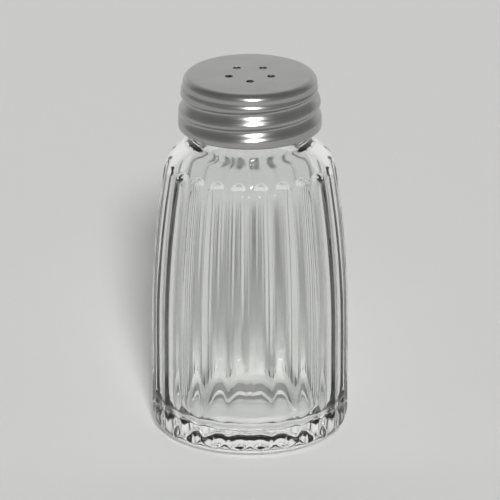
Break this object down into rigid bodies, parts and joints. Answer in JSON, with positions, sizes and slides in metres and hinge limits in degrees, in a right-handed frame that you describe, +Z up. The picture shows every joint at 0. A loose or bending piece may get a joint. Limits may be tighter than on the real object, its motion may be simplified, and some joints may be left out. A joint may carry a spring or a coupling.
{
  "type": "pepper shaker",
  "caption": "Clear fluted glass pepper shaker with a round shoulder and a pressed steel screw cap, pierced to sprinkle pepper and taken off to fill the jar.",
  "frame": {"origin": "middle of the jar's foot, on the table", "axes": "+Z up along the axis of the jar and of the cap's thread; +X through a ridge of the glass"},
  "size_m": [0.052, 0.052, 0.0985],
  "materials": {
    "glass": "clear pressed glass, fire polished",
    "liner": "soft white polyethylene",
    "steel": "stainless sheet, satin on top and bright on the rolled wall"
  },
  "bodies": {
    "jar": {"glass_jar": "glass"},
    "liner": {"cap_liner": "liner"},
    "cap": {"screw_cap": "steel"}
  },
  "joints": [
    {"name": "cap_lift", "type": "slide", "parent": "jar", "child": "liner", "axis": [0, 0, 1], "range_m": [0, 0.0135]},
    {"name": "cap_turn", "type": "hinge", "parent": "liner", "child": "cap", "pos_m": [0, 0, 0.09655], "axis": [0, 0, 1], "range_deg": [0, 1080]}
  ],
  "couplings": [
    {"joint": "cap_lift", "follows": "cap_turn", "m_per_rad": 0.0007162}
  ]
}
